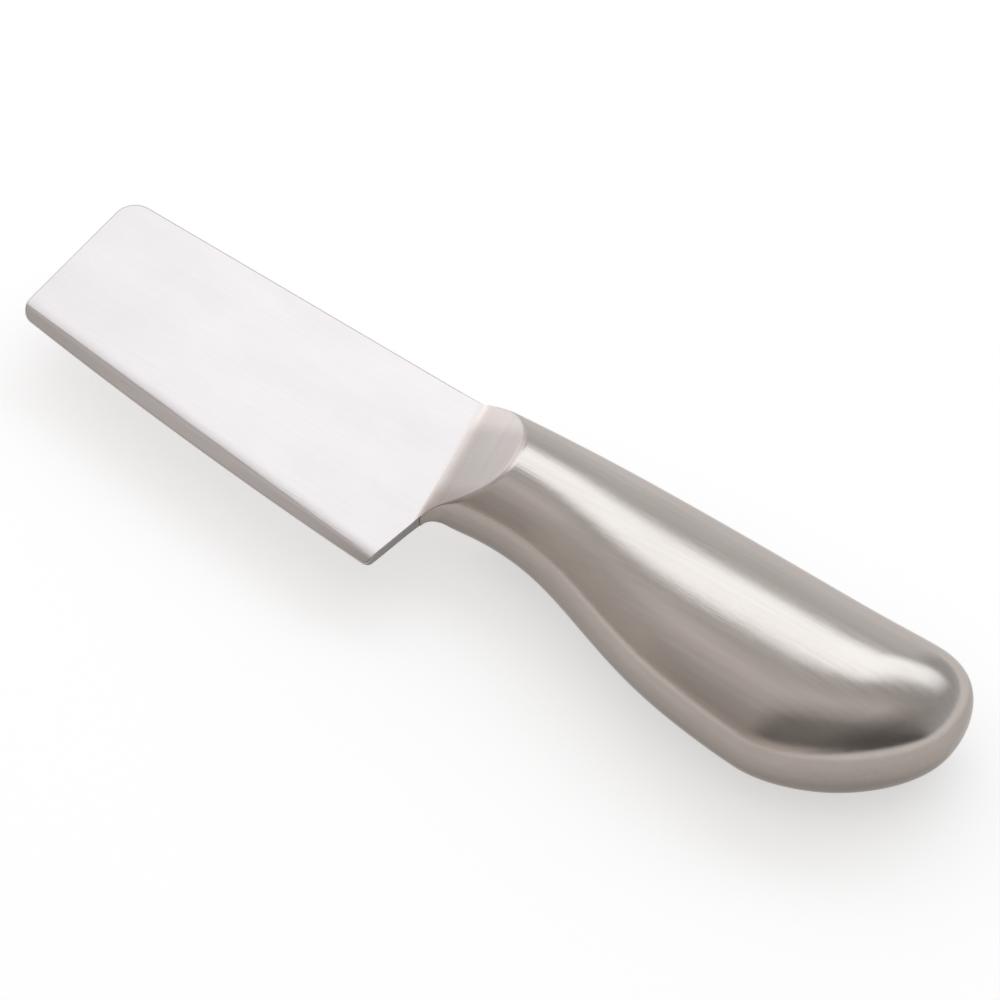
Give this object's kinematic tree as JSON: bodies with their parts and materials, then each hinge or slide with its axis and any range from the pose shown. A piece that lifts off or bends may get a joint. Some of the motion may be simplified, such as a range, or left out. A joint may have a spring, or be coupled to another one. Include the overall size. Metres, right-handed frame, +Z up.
{
  "type": "cheese knife",
  "caption": "Small cheese knife with a flat, slightly flaring blade, a ramped bolster and a hollow, drop-shaped steel handle.",
  "frame": {"origin": "under the middle of the knife's box, on the surface that the knife lies on, with the blade level", "axes": "+X along the knife from the tip of the blade to the butt of the handle, +Y from the cutting edge to the spine, +Z up, square to the blade's face"},
  "size_m": [0.135, 0.031, 0.0174],
  "materials": {
    "blade_steel": "satin",
    "bolster_steel": "satin",
    "handle_steel": "satin",
    "weld_steel": "satin",
    "braze_metal": "satin",
    "filler_resin": "matte"
  },
  "bodies": {
    "root": {"blade": "blade_steel", "bolster": "bolster_steel", "upper_handle_shell": "handle_steel", "lower_handle_shell": "handle_steel", "seam_weld": "weld_steel", "neck_braze": "braze_metal", "handle_filler": "filler_resin"}
  },
  "joints": []
}
